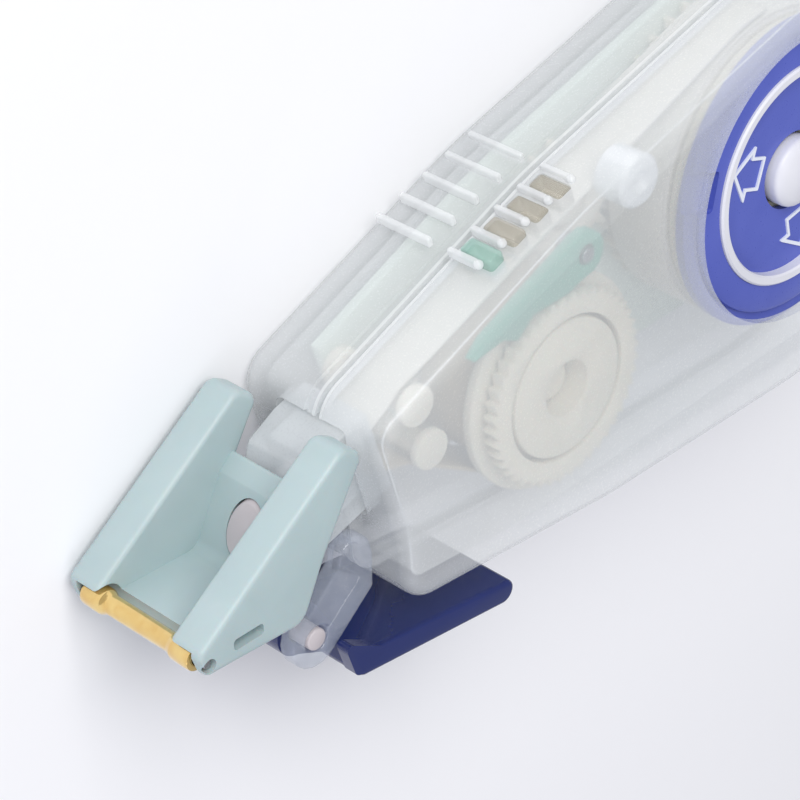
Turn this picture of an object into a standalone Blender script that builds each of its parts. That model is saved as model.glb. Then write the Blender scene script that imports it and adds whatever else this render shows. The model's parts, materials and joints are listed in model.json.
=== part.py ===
"""Roller-tip correction tape dispenser with a refill cartridge, modelled piece by piece.

The dispenser lies on its flat back. X runs from the head towards the rear, Y towards the
ribbed grip edge and Z up to the side with the tension dial. The origin is the supply reel's
axis on the back face. Sizes and places below are in millimetres, and put() turns them into
metres.
"""
import math

import bmesh
import bpy
from mathutils import Matrix, Vector

MM = 0.001

# --- Driving dimensions, in millimetres ---------------------------------------------------
CLEAR = 0.3             # gap kept between pieces that touch or run on each other
WALL = 1.2              # side wall of the case
FLOOR = 1.1             # back and dial-side face of the case
EDGE_ROUND = 1.1        # rounding between a face of the case and its side wall
TAPE_WIDTH = 4.2
RIBBON = 0.25           # thickness of a run of tape, drawn thicker than the real film
BASE_PLATE = 0.7        # cartridge plate
GEAR_FACE = 1.1         # thickness of the gears
FLANGE = 0.7            # thickness of a reel flange
RATCHET_FACE = 0.9

NOSE_REACH = 36.6       # supply axis to the front of the case
TAIL_REACH = 13.9       # supply axis to the back of the case
GRIP_MARGIN = 0.8       # free space between the supply reel and the case wall
BELLY_DROP = 2.0        # how much further the case reaches below the supply axis
HEAD_LENGTH = 13.8      # tip roller axis to the rear corner of the side plates
HEAD_GAP = 0.6          # side plates to the front of the case
HEAD_WIDTH = 11.0       # over both side plates
SIDE_PLATE = 2.5
AXIS_HEIGHT = 5.8       # head axis and tip roller above the supply axis, in Y

ROLLER_CORE = 0.6       # radius
ROLLER_FLANGE = 0.8     # radius
ROLLER_CORE_LENGTH = 5.2
ROLLER_LENGTH = 9.0
AXLE_RADIUS = 0.3
SWIVEL_PIN = 1.2        # radius of the head's pivot pin
SWIVEL_CLEAR = 0.45     # side room that lets the head rock on its pin
NECK_HEIGHT = 6.0
PIN_CLEAR = 0.12        # running room round the head pin, in head and neck

MODULE = 0.5            # gear module
SUPPLY_TEETH = 38
IDLER_TEETH = 16
TAKE_UP_TEETH = 24
BACKLASH = 0.22
REEL_SPACING = 21.7     # supply axis to take-up axis along X
TAKE_UP_RISE = 0.2      # take-up axis above the supply axis, in Y
PACK_RADIUS = 10.2      # fresh tape on the supply reel
CORE_RADIUS = 5.2       # supply reel core
LINER_RADIUS = 5.9      # spent liner on the take-up reel
LINER_CORE = 3.9
TAKE_UP_FLANGE = 7.0
RATCHET_TEETH = 44
RATCHET_RADIUS = 6.4
RATCHET_DEPTH = 0.5
POST_RADIUS = 1.5       # fixed posts that the reels turn on

DIAL_RADIUS = 9.4
DIAL_LIP = 0.7          # retaining lip under the case
DIAL_RISE = -0.75       # dial face above the roof's hole edge
DIAL_RING = 7.4         # raised ring on the dial
NOTCH_COUNT = 3         # grip notches in the dial's rim
NOTCH_RADIUS = 1.5
DISH_WIDTH = 0.9        # sloped edge round the dial opening
DISH_DEPTH = 0.5

RIB_COUNT = 5
RIB_PITCH = 2.0
RIB_FIRST = 11.9        # nose to the first grip rib
RIB_WIDTH = 0.4
RIB_HEIGHT = 0.3
RIB_BACK = 4.3          # length of a rib on the back half
RIB_FRONT = 2.2         # length of a rib on the dial half
SEAM_BAND = 0.9         # tongue strip along the joint of the two halves

LEVER_WIDTH = 8.8
LEVER_LENGTH = 15.4
LEVER_THICK = 1.8
LEVER_DROP = 1.3        # top of the lever below its hinge line
LEVER_PIN = 0.7
LEVER_TILT = -24.0      # degrees, closed lever against the X axis
KNUCKLE = 1.9           # radius of the bracket's ears round the lever pin
EAR_THICK = 1.2
BARREL_WIDTH = 3.4
CHEEK = 0.9             # sides of the lever, outside the ears

# --- Sizes that follow -----------------------------------------------------------------
BASE_Z = FLOOR + CLEAR
GEAR_Z = BASE_Z + BASE_PLATE + CLEAR
HUB_Z = GEAR_Z + GEAR_FACE + CLEAR
TAPE_Z = HUB_Z + 0.1
TAPE_TOP = TAPE_Z + TAPE_WIDTH
FLANGE_Z = TAPE_TOP + CLEAR
RATCHET_Z = FLANGE_Z + FLANGE + CLEAR
LIP_Z = FLANGE_Z + FLANGE + CLEAR
ROOF_Z = LIP_Z + max(DIAL_LIP, RATCHET_FACE) + CLEAR
CASE_DEPTH = ROOF_Z + FLOOR
MID = TAPE_Z + TAPE_WIDTH / 2


def pitch_radius(teeth):
    """Pitch radius of a gear with this many teeth."""
    return MODULE * teeth / 2


TOOTH_TIP = 0.85 * MODULE
TOOTH_ROOT = 1.15 * MODULE
DIAL_LIP_RADIUS = DIAL_RADIUS + CLEAR + 0.6
SUPPLY_REACH = max(PACK_RADIUS, pitch_radius(SUPPLY_TEETH) + TOOTH_TIP, DIAL_LIP_RADIUS - 0.4)
GRIP_Y = SUPPLY_REACH + GRIP_MARGIN + WALL
BELLY_Y = -(GRIP_Y + BELLY_DROP)
TAKE_UP = Vector((-REEL_SPACING, TAKE_UP_RISE))
ROLLER_X = -(NOSE_REACH + HEAD_GAP + HEAD_LENGTH)
HEAD_INNER = HEAD_WIDTH / 2 - SIDE_PLATE
NECK_HALF = HEAD_INNER - SWIVEL_CLEAR
NOSE_DROP = 2.2         # the grip edge falls this much towards the nose
GRIP_BEND = TAKE_UP.x + 4.2
REEL_ROOM = 0.327       # take-up spool's flange to the belly wall
CHIN_Y = -2.9           # where the belly line meets the front of the case
HINGE = Vector((-NOSE_REACH - 6.4, CHIN_Y + 1.1))


def belly_below_take_up():
    """Depth under the take-up axis of the belly's bend, which keeps REEL_ROOM clear of the spool."""
    reach = TAKE_UP - Vector((-NOSE_REACH - 1.2, CHIN_Y))
    radius = TAKE_UP_FLANGE + REEL_ROOM + WALL
    slope = math.atan2(reach.y, reach.x) - math.asin(radius / reach.length)
    return reach.y - reach.x * math.tan(slope)


BELLY_ROOM = belly_below_take_up()


# --- Outlines ---------------------------------------------------------------------------
def arc(cx, cy, radius, start, end, steps):
    """Points on a circle from start to end, in degrees."""
    turn = [math.radians(start + (end - start) * i / steps) for i in range(steps + 1)]
    return [Vector((cx + radius * math.cos(a), cy + radius * math.sin(a))) for a in turn]


def touch_angle(centre, radius, point, side):
    """Angle in degrees at which a line from the point touches a circle, on the given side."""
    line = point - centre
    return math.degrees(math.atan2(line.y, line.x) + side * math.acos(radius / line.length))


def circle(cx, cy, radius, count=32):
    """A closed round outline, counter-clockwise."""
    return arc(cx, cy, radius, 0, 360, count)[:-1]


def rounded(corners, step=14.0):
    """A closed outline whose corners, given as (x, y, radius), are rounded by arcs."""
    outline = []
    for i, (x, y, radius) in enumerate(corners):
        here = Vector((x, y))
        before = Vector(corners[i - 1][:2])
        after = Vector(corners[(i + 1) % len(corners)][:2])
        back, ahead = (before - here).normalized(), (after - here).normalized()
        half = math.acos(max(-1, min(1, back.dot(ahead)))) / 2
        if radius < 1e-6:
            outline.append(here)
            continue
        reach = radius / math.tan(half)
        centre = here + (back + ahead).normalized() * (radius / math.sin(half))
        first, last = here + back * reach - centre, here + ahead * reach - centre
        turn = first.angle_signed(last)
        steps = max(1, round(abs(math.degrees(turn)) / step))
        start = math.atan2(first.y, first.x)
        for k in range(steps + 1):
            angle = start - turn * k / steps
            outline.append(centre + radius * Vector((math.cos(angle), math.sin(angle))))
    return outline


def inset(outline, distance):
    """The outline moved inwards by a distance, for a counter-clockwise outline."""
    moved = []
    for i, here in enumerate(outline):
        before, after = outline[i - 1], outline[(i + 1) % len(outline)]
        a = (here - before).normalized()
        b = (after - here).normalized()
        bisector = Vector((-a.y - b.y, a.x + b.x)).normalized()
        stretch = max(0.5, bisector.dot(Vector((-a.y, a.x))))
        moved.append(here + bisector * distance / stretch)
    return moved


def case_corners():
    """Corners of the case seen from the dial side, counter-clockwise."""
    return [(-NOSE_REACH, GRIP_Y - NOSE_DROP, 2.4),
            (-NOSE_REACH - 0.2, AXIS_HEIGHT - NECK_HEIGHT / 2 - 1.6, 3.0),
            (-NOSE_REACH - 1.2, CHIN_Y, 2.0),
            (TAKE_UP.x, TAKE_UP.y - BELLY_ROOM, 25.0),
            (-3.5, BELLY_Y, 12.0),
            (TAIL_REACH, BELLY_Y, 12.4),
            (TAIL_REACH, GRIP_Y, 12.4),
            (GRIP_BEND, GRIP_Y, 25.0)]


def gear_outline(centre, teeth, phase):
    """Straight-flanked teeth round a centre, the first tooth at the phase angle."""
    radius = pitch_radius(teeth)
    pitch = 2 * math.pi / teeth
    thick = pitch / 2 - BACKLASH / radius
    spots = ((radius - TOOTH_ROOT, -0.72), (radius + TOOTH_TIP, -0.26),
             (radius + TOOTH_TIP, 0.26), (radius - TOOTH_ROOT, 0.72))
    outline = []
    for tooth in range(teeth):
        for r, share in spots:
            angle = phase + tooth * pitch + share * thick
            outline.append(centre + r * Vector((math.cos(angle), math.sin(angle))))
    return outline


def ratchet_outline(centre):
    """Saw teeth that let the take-up reel wind counter-clockwise only."""
    outline = []
    for tooth in range(RATCHET_TEETH):
        angle = 2 * math.pi * tooth / RATCHET_TEETH
        lean = 2 * math.pi / RATCHET_TEETH * 0.2
        for r, a in ((RATCHET_RADIUS - RATCHET_DEPTH, angle), (RATCHET_RADIUS, angle + lean)):
            outline.append(centre + r * Vector((math.cos(a), math.sin(a))))
    return outline


def meshing_phase(centre, teeth, phase, other, other_teeth):
    """Phase of the other gear that puts its gap where this gear's tooth is."""
    line = math.atan2(other.y - centre.y, other.x - centre.x)
    along = (line - phase) * teeth / (2 * math.pi)
    return line + math.pi - (0.5 - along) * 2 * math.pi / other_teeth


def idler_centre():
    """Where a circle round each reel axis meets, above the line between them."""
    a = pitch_radius(SUPPLY_TEETH) + pitch_radius(IDLER_TEETH)
    b = pitch_radius(TAKE_UP_TEETH) + pitch_radius(IDLER_TEETH)
    span = TAKE_UP.length
    along = (a * a - b * b + span * span) / (2 * span)
    across = math.sqrt(max(a * a - along * along, 0))
    unit = TAKE_UP / span
    return unit * along + Vector((unit.y, -unit.x)) * across


IDLER = idler_centre()


# --- Making objects ---------------------------------------------------------------------
def material(name, rgb, roughness, metallic=0.0, alpha=1.0):
    """A plain Principled material, made once for each name."""
    found = bpy.data.materials.get(name)
    if found:
        return found
    made = bpy.data.materials.new(name)
    made.use_nodes = True
    shader = made.node_tree.nodes["Principled BSDF"]
    shader.inputs["Base Color"].default_value = (*rgb, 1)
    shader.inputs["Roughness"].default_value = roughness
    shader.inputs["Metallic"].default_value = metallic
    shader.inputs["Alpha"].default_value = alpha
    made.diffuse_color = (*rgb, alpha)
    return made


def put(name, bm, finish, origin=(0, 0, 0), cutter=False):
    """Turn a bmesh in millimetres into an object whose origin lies on its joint's axis."""
    bmesh.ops.translate(bm, vec=-Vector(origin), verts=bm.verts)
    bmesh.ops.scale(bm, vec=(MM, MM, MM), verts=bm.verts)
    bmesh.ops.recalc_face_normals(bm, faces=bm.faces)
    mesh = bpy.data.meshes.new(name)
    bm.to_mesh(mesh)
    bm.free()
    mesh.shade_smooth()
    mesh.set_sharp_from_angle(angle=math.radians(35))
    thing = bpy.data.objects.new(name, mesh)
    thing.location = Vector(origin) * MM
    bpy.context.scene.collection.objects.link(thing)
    if finish:
        mesh.materials.append(finish)
    if cutter:
        thing.hide_render = True
        thing.display_type = "WIRE"
    return thing


def prism(outline, low, high, holes=()):
    """A bmesh plate from z low to z high, with holes through it."""
    bm = bmesh.new()
    for loop in (outline, *holes):
        verts = [bm.verts.new((p.x, p.y, low)) for p in loop]
        for i, vert in enumerate(verts):
            bm.edges.new((verts[i - 1], vert))
    bmesh.ops.triangle_fill(bm, use_beauty=True, use_dissolve=False, edges=bm.edges[:])
    grown = bmesh.ops.extrude_face_region(bm, geom=bm.faces[:])
    lifted = [g for g in grown["geom"] if isinstance(g, bmesh.types.BMVert)]
    bmesh.ops.translate(bm, vec=(0, 0, high - low), verts=lifted)
    return bm


def turned(profile, centre=(0, 0), steps=36):
    """A bmesh ring or disc: a closed profile of (radius, z) turned about a Z axis."""
    bm = bmesh.new()
    rows = []
    for radius, z in profile:
        if radius < 1e-6:
            rows.append([bm.verts.new((centre[0], centre[1], z))] * steps)
            continue
        spin = (2 * math.pi * i / steps for i in range(steps))
        rows.append([bm.verts.new((centre[0] + radius * math.cos(a),
                                   centre[1] + radius * math.sin(a), z)) for a in spin])
    for j, row in enumerate(rows):
        nxt = rows[(j + 1) % len(rows)]
        for i in range(steps):
            quad = [row[i - 1], row[i], nxt[i], nxt[i - 1]]
            corners = [v for k, v in enumerate(quad) if v is not quad[k - 1]]
            if len(set(corners)) >= 3:
                bm.faces.new(corners)
    return bm


def rod(radius, low, high, centre=(0, 0), steps=20):
    """A plain round rod about the Z line through centre."""
    return turned([(0, low), (radius, low), (radius, high), (0, high)], centre, steps)


def wound(inner, outer, centre, steps):
    """A ring of wound tape on the tape's level."""
    return turned([(inner, TAPE_Z), (outer, TAPE_Z), (outer, TAPE_TOP), (inner, TAPE_TOP)], centre, steps)


def along_x(bm, pivot):
    """Turn a bmesh made about Z so that its axis runs along X through the pivot."""
    bmesh.ops.rotate(bm, cent=(0, 0, 0), matrix=Matrix.Rotation(math.pi / 2, 3, "Y"), verts=bm.verts)
    bmesh.ops.translate(bm, vec=pivot, verts=bm.verts)
    return bm


def combine(base, tools, operation):
    """Apply Boolean modifiers with each tool in turn, then keep the tools as hidden guides."""
    for tool in tools:
        step = base.modifiers.new(operation.lower(), "BOOLEAN")
        step.operation = operation
        step.solver = "EXACT"
        step.object = tool
        tool.hide_render = True
        tool.display_type = "WIRE"


def shell(outline, outer, inner):
    """A bmesh tray: outer and inner levels of (z, inset), closed at both ends."""
    bm = bmesh.new()
    rows = []
    for z, distance in (*outer, *inner):
        rows.append([bm.verts.new((p.x, p.y, z)) for p in inset(outline, distance)])
    for low, high in zip(rows, rows[1:]):
        for i in range(len(low)):
            bm.faces.new((low[i - 1], low[i], high[i], high[i - 1]))
    bm.faces.new(rows[0])
    bm.faces.new(rows[-1])
    return bm


def strip(path, low, high, thickness):
    """A ribbon on edge that follows a path in XY."""
    sides = ([], [])
    for i, here in enumerate(path):
        before, after = path[max(i - 1, 0)], path[min(i + 1, len(path) - 1)]
        run = (after - before).normalized()
        off = Vector((-run.y, run.x)) * thickness / 2
        sides[0].append(here + off)
        sides[1].append(here - off)
    return prism(sides[0] + sides[1][::-1], low, high)


# --- Materials --------------------------------------------------------------------------
def finishes():
    """Every material of the object, by name."""
    return {
        "frosted_case": material("frosted_case", (0.86, 0.89, 0.92), 0.35, alpha=0.35),
        "white_neck": material("white_neck", (0.92, 0.93, 0.94), 0.4),
        "mint_plate": material("mint_plate", (0.62, 0.78, 0.7), 0.4),
        "head_grey": material("head_grey", (0.5, 0.6, 0.6), 0.45),
        "amber_roller": material("amber_roller", (0.85, 0.58, 0.15), 0.2),
        "navy_lever": material("navy_lever", (0.03, 0.05, 0.24), 0.25),
        "blue_dial": material("blue_dial", (0.1, 0.13, 0.52), 0.35),
        "clear_bracket": material("clear_bracket", (0.9, 0.92, 0.95), 0.08, alpha=0.3),
        "white_gear": material("white_gear", (0.86, 0.85, 0.8), 0.4),
        "teal_pawl": material("teal_pawl", (0.15, 0.5, 0.4), 0.4),
        "tape_white": material("tape_white", (0.9, 0.89, 0.84), 0.6),
        "liner_taupe": material("liner_taupe", (0.5, 0.45, 0.37), 0.5),
        "steel": material("steel", (0.6, 0.6, 0.62), 0.25, metallic=1.0),
        "pin_grey": material("pin_grey", (0.6, 0.58, 0.6), 0.4),
        "rubber": material("rubber", (0.08, 0.08, 0.09), 0.7),
    }


# --- The case ---------------------------------------------------------------------------
def neck_cutter(name):
    """The opening in the front of the case that the neck passes through."""
    half_y = NECK_HEIGHT / 2 + CLEAR
    front, back = -NOSE_REACH - 4, -NOSE_REACH + 4
    outline = [Vector((front, AXIS_HEIGHT - half_y)), Vector((back, AXIS_HEIGHT - half_y)),
               Vector((back, AXIS_HEIGHT + half_y)), Vector((front, AXIS_HEIGHT + half_y))]
    return put(name, prism(outline, MID - NECK_HALF - CLEAR, MID + NECK_HALF + CLEAR), None, cutter=True)


def grip_ribs(tag, low, high):
    """Bars across the grip edge, each sunk into the wall that it stands on."""
    bars = []
    for i in range(RIB_COUNT):
        x = -NOSE_REACH + RIB_FIRST + i * RIB_PITCH
        drop = NOSE_DROP * max(0, GRIP_BEND - x) / (NOSE_REACH + GRIP_BEND)
        top = GRIP_Y - drop + RIB_HEIGHT
        outline = [Vector((x, top - 0.9)), Vector((x + RIB_WIDTH, top - 0.9)),
                   Vector((x + RIB_WIDTH, top)), Vector((x, top))]
        bars.append(put(f"rib_{tag}_{i}", prism(outline, low, high), None, cutter=True))
    return bars


def back_case(finish):
    """The flat back half: a tray with a tongue strip along its joint."""
    joint = MID + SEAM_BAND / 2
    outer = [(0, EDGE_ROUND)]
    outer += [(EDGE_ROUND * (1 - math.cos(a)), EDGE_ROUND * (1 - math.sin(a)))
              for a in (math.radians(d) for d in (25, 50, 70, 90))]
    groove = MID - SEAM_BAND / 2
    outer += [(groove - 0.12, 0), (groove, 0.14), (groove + 0.12, 0), (joint - CLEAR / 2, 0)]
    inner = [(joint - CLEAR / 2, WALL), (FLOOR + 0.6, WALL), (FLOOR, WALL + 0.6)]
    thing = put("back_case", shell(rounded(case_corners()), outer, inner), finish)
    rib_end = MID - SEAM_BAND / 2 - 0.2
    combine(thing, grip_ribs("back", rib_end - RIB_BACK, rib_end), "UNION")
    combine(thing, [neck_cutter("neck_way_back")], "DIFFERENCE")


def front_case(finish):
    """The dial-side half: a lid with a dished round opening for the dial."""
    joint = MID + SEAM_BAND / 2 + CLEAR / 2
    inner = [(ROOF_Z, WALL + 0.6), (ROOF_Z - 0.6, WALL), (joint, WALL)]
    outer = [(joint, 0)]
    outer += [(CASE_DEPTH - EDGE_ROUND * (1 - math.cos(a)), EDGE_ROUND * (1 - math.sin(a)))
              for a in (math.radians(d) for d in (90, 70, 50, 25))]
    outer += [(CASE_DEPTH, EDGE_ROUND)]
    thing = put("front_case", shell(rounded(case_corners()), inner, outer), finish)
    combine(thing, grip_ribs("front", joint + 0.2, joint + 0.2 + RIB_FRONT), "UNION")
    hole = DIAL_RADIUS + CLEAR
    rim = hole + DISH_WIDTH
    well = turned([(0, ROOF_Z - 1), (hole, ROOF_Z - 1), (hole, CASE_DEPTH - DISH_DEPTH),
                   (rim, CASE_DEPTH + 0.02), (rim, CASE_DEPTH + 1), (0, CASE_DEPTH + 1)], steps=56)
    combine(thing, [put("dial_way", well, None, cutter=True), neck_cutter("neck_way_front")], "DIFFERENCE")


def neck_cowl(finish):
    """The pale neck between case and head: a hollow box with the pivot pin's bore in its front wall."""
    head_x, rear = ROLLER_X + HEAD_LENGTH, -NOSE_REACH + 2.2
    low_y, high_y = AXIS_HEIGHT - NECK_HEIGHT / 2, AXIS_HEIGHT + NECK_HEIGHT / 2
    body = rounded([(head_x - 2.1, high_y - 0.5, 0.4), (head_x - 4.4, AXIS_HEIGHT - 1.3, 0.8),
                    (head_x - 4.1, low_y, 0.5), (rear, low_y, 0), (rear, high_y, 0),
                    (-NOSE_REACH - 0.3, high_y, 0.5)],
                   step=30)
    thing = put("neck_cowl", prism(body, MID - NECK_HALF, MID + NECK_HALF), finish)
    inner = head_x - 1.0
    room = [Vector(p) for p in ((inner, low_y + 0.9), (rear + 1, low_y + 0.9),
                                (rear + 1, high_y - 0.9), (inner, high_y - 0.9))]
    side = TAPE_WIDTH / 2 + 0.1
    cut = put("neck_room", prism(room, MID - side, MID + side), None, cutter=True)
    radius = SWIVEL_PIN + PIN_CLEAR
    bore = along_x(rod(radius, -4.5, 2, steps=24), (inner, AXIS_HEIGHT, MID))
    combine(thing, [cut, put("neck_bore", bore, None, cutter=True)], "DIFFERENCE")


def cartridge(finishes_by_name):
    """The plate that carries the reels, its posts and the two tape guides."""
    margin = WALL + CLEAR + 0.3
    outline = inset(rounded(case_corners()), margin)
    cut_x = -NOSE_REACH + 4.6
    outline = [Vector((max(p.x, cut_x), p.y)) for p in outline]
    kept = [p for i, p in enumerate(outline) if (p - outline[i - 1]).length > 0.02]
    posts = {"supply_post": (Vector((0, 0)), FLANGE_Z), "idler_post": (IDLER, HUB_Z - CLEAR / 2),
             "take_up_post": (TAKE_UP, FLANGE_Z + FLANGE)}
    holes = [circle(p.x, p.y, POST_RADIUS + CLEAR, 20) for p, _ in posts.values()]
    put("cartridge_plate", prism(kept, BASE_Z, BASE_Z + BASE_PLATE, holes), finishes_by_name["mint_plate"])
    for name, (place, top) in posts.items():
        profile = [(0, BASE_Z), (POST_RADIUS, BASE_Z), (POST_RADIUS, top - 0.4),
                   (POST_RADIUS - 0.4, top), (0, top)]
        put(name, turned(profile, place, steps=20), finishes_by_name["white_gear"], (*place, BASE_Z))
    for name, place in guide_places().items():
        low = BASE_Z + BASE_PLATE + CLEAR
        profile = [(0, low), (1.3, low), (1.3, TAPE_Z - CLEAR), (0.8, TAPE_Z - CLEAR),
                   (0.8, TAPE_TOP + CLEAR),
                   (1.3, TAPE_TOP + CLEAR), (1.3, TAPE_TOP + CLEAR + 0.6), (0, TAPE_TOP + CLEAR + 0.6)]
        put(name, turned(profile, place, steps=18), finishes_by_name["white_gear"], (*place, low))


def guide_places():
    """Where the feed run and the return run turn into the neck."""
    x = -NOSE_REACH + 5.3
    return {"feed_guide": Vector((x, AXIS_HEIGHT + 0.9)), "return_guide": Vector((x, AXIS_HEIGHT - 2.7))}


def tape_runs(feed, liner):
    """The feed run to the neck and the liner's run back to the take-up reel."""
    guides = guide_places()
    off = 0.8 + CLEAR + RIBBON / 2
    pin = guides["feed_guide"]
    reach = PACK_RADIUS + CLEAR + RIBBON / 2
    leave = touch_angle(Vector((0, 0)), reach, pin + Vector((0, off)), -1)
    path = arc(0, 0, reach, leave - 18, leave, 4) + arc(pin.x, pin.y, off, 90, 128, 4)
    path.append(Vector((-NOSE_REACH + 1.2, AXIS_HEIGHT + 1.0)))
    put("feed_tape", strip(path, TAPE_Z, TAPE_TOP, RIBBON), feed)
    pin = guides["return_guide"]
    reach = LINER_RADIUS + CLEAR + RIBBON / 2
    path = [Vector((-NOSE_REACH + 1.2, AXIS_HEIGHT - 1.4))] + arc(pin.x, pin.y, off, 200, 225, 4)
    meet = touch_angle(TAKE_UP, reach, path[-1], 1) % 360
    path += arc(TAKE_UP.x, TAKE_UP.y, reach, meet, meet + 30, 5)
    put("return_liner", strip(path, TAPE_Z, TAPE_TOP, RIBBON), liner)


# --- Reels and gears --------------------------------------------------------------------
def hub_ring(name, centre, levels, finish, steps=40):
    """A turned piece on a reel axis whose bore clears the post."""
    bore = POST_RADIUS + CLEAR
    profile = [(bore, levels[0][1]), *levels, (bore, levels[-1][1])]
    return put(name, turned(profile, centre, steps), finish, (*centre, levels[0][1]))


def supply_reel(colours):
    """Geared supply reel with its tape, slip clutch and tension dial."""
    origin = Vector((0, 0))
    phase = math.atan2(IDLER.y, IDLER.x)
    gear = prism(gear_outline(origin, SUPPLY_TEETH, phase), GEAR_Z, GEAR_Z + GEAR_FACE,
                 [circle(0, 0, POST_RADIUS + CLEAR, 20)])
    put("supply_gear", gear, colours["white_gear"], (0, 0, GEAR_Z))
    clutch_top = HUB_Z + 1.1
    hub_ring("clutch_ring", origin, [(2.9, HUB_Z), (2.9, clutch_top)], colours["rubber"], 28)
    sleeve, bore, rim, top = 2.9 + CLEAR, POST_RADIUS + CLEAR, PACK_RADIUS - 0.4, FLANGE_Z + FLANGE
    spool = turned([(sleeve, HUB_Z), (CORE_RADIUS - CLEAR, HUB_Z), (CORE_RADIUS - CLEAR, FLANGE_Z),
                    (rim, FLANGE_Z), (rim, top), (2.4, top), (2.4, FLANGE_Z), (bore, FLANGE_Z - 0.6),
                    (bore, clutch_top + CLEAR), (sleeve, clutch_top + CLEAR)], steps=48)
    put("supply_spool", spool, colours["white_gear"], (0, 0, HUB_Z))
    put("tape_pack", wound(CORE_RADIUS, PACK_RADIUS, origin, 56), colours["tape_white"], (0, 0, TAPE_Z))
    tension_dial(colours)


def tension_dial(colours):
    """The dial: a lipped disc with a sunk face, a raised ring and grip notches in its rim."""
    face = CASE_DEPTH - DISH_DEPTH + DIAL_RISE
    ring_in = DIAL_RING - 0.6
    profile = [(2.6, LIP_Z), (DIAL_LIP_RADIUS, LIP_Z), (DIAL_LIP_RADIUS, LIP_Z + DIAL_LIP - 0.1),
               (DIAL_RADIUS, LIP_Z + DIAL_LIP - 0.1), (DIAL_RADIUS, face - 0.4), (DIAL_RADIUS - 0.4, face),
               (DIAL_RING + 0.3, face), (DIAL_RING, face + 0.25), (ring_in, face + 0.25),
               (ring_in - 0.2, face - 0.5), (2.6, face - 0.5)]
    dial = put("tension_dial", turned(profile, steps=60), colours["blue_dial"], (0, 0, LIP_Z))
    notches = []
    for i in range(NOTCH_COUNT):
        angle = math.radians(150 + 360 / NOTCH_COUNT * i)
        spot = Vector((math.cos(angle), math.sin(angle))) * (DIAL_RADIUS + 0.3)
        notches.append(put(f"dial_notch_{i}", rod(NOTCH_RADIUS, face - 0.8, face + 1, spot, 16), None, cutter=True))
    combine(dial, notches, "DIFFERENCE")
    cap = turned([(0, LIP_Z), (2.3, LIP_Z), (2.3, face + 0.1), (1.7, face + 0.5), (0, face + 0.5)], steps=28)
    put("dial_cap", cap, colours["white_gear"], (0, 0, LIP_Z))


def idler_gear(finish):
    """The idler that joins the two reel gears; its post ends below the tape."""
    phase = meshing_phase(Vector((0, 0)), SUPPLY_TEETH, math.atan2(IDLER.y, IDLER.x), IDLER, IDLER_TEETH)
    gear = prism(gear_outline(IDLER, IDLER_TEETH, phase), GEAR_Z, GEAR_Z + GEAR_FACE,
                 [circle(IDLER.x, IDLER.y, POST_RADIUS + CLEAR, 20)])
    put("idler_gear", gear, finish, (*IDLER, GEAR_Z))
    return phase


def take_up_reel(colours, idler_phase):
    """Take-up reel: gear, spool, spent liner and the fine ratchet wheel on top."""
    phase = meshing_phase(IDLER, IDLER_TEETH, idler_phase, TAKE_UP, TAKE_UP_TEETH)
    gear = prism(gear_outline(TAKE_UP, TAKE_UP_TEETH, phase), GEAR_Z, GEAR_Z + GEAR_FACE,
                 [circle(*TAKE_UP, POST_RADIUS + CLEAR, 20)])
    put("take_up_gear", gear, colours["white_gear"], (*TAKE_UP, GEAR_Z))
    boss = RATCHET_RADIUS - RATCHET_DEPTH - 1.4
    core, top = LINER_CORE - CLEAR, FLANGE_Z + FLANGE
    levels = [(core, HUB_Z), (core, FLANGE_Z), (TAKE_UP_FLANGE, FLANGE_Z), (TAKE_UP_FLANGE, top),
              (boss, top), (boss, RATCHET_Z + RATCHET_FACE)]
    hub_ring("take_up_spool", TAKE_UP, levels, colours["white_gear"], 48)
    put("liner_pack", wound(LINER_CORE, LINER_RADIUS, TAKE_UP, 44), colours["liner_taupe"],
        (*TAKE_UP, TAPE_Z))
    wheel = prism(ratchet_outline(TAKE_UP), RATCHET_Z, RATCHET_Z + RATCHET_FACE,
                  [circle(*TAKE_UP, boss + CLEAR, 36)])
    put("ratchet_wheel", wheel, colours["white_gear"], (*TAKE_UP, RATCHET_Z))


def pawl_pivot_place():
    """The pawl's pivot: past the ratchet wheel's top, towards the rear."""
    return TAKE_UP + Vector((4.0, RATCHET_RADIUS + 1.2))


def anti_reverse_pawl(colours):
    """The pawl that rests on the ratchet wheel, and the pin it rocks on."""
    pivot = pawl_pivot_place()
    bearing = math.radians(112)
    tip = TAKE_UP + Vector((math.cos(bearing), math.sin(bearing))) * (RATCHET_RADIUS + CLEAR)
    outline = [tip, tip + Vector((1.6, 0.7)), pivot + Vector((-2.2, -1.4))]
    outline += arc(pivot.x, pivot.y, 1.5, -110, 100, 8)
    outline += [pivot + Vector((-4.5, 1.0)), tip + Vector((-2.2, 1.8)), tip + Vector((-3.4, 1.2)),
                tip + Vector((-1.0, 0.9))]
    low, high = RATCHET_Z, RATCHET_Z + RATCHET_FACE
    put("anti_reverse_pawl", prism(outline, low, high, [circle(pivot.x, pivot.y, 0.5 + CLEAR / 2, 16)]),
        colours["teal_pawl"], (*pivot, low))
    foot, top = low - 0.9, ROOF_Z - CLEAR / 2
    pin = turned([(0, foot), (0.9, foot), (0.9, low - CLEAR), (0.5, low - CLEAR), (0.5, top), (0, top)],
                 pivot, 16)
    put("pawl_pin", pin, colours["steel"], (*pivot, foot))


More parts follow.
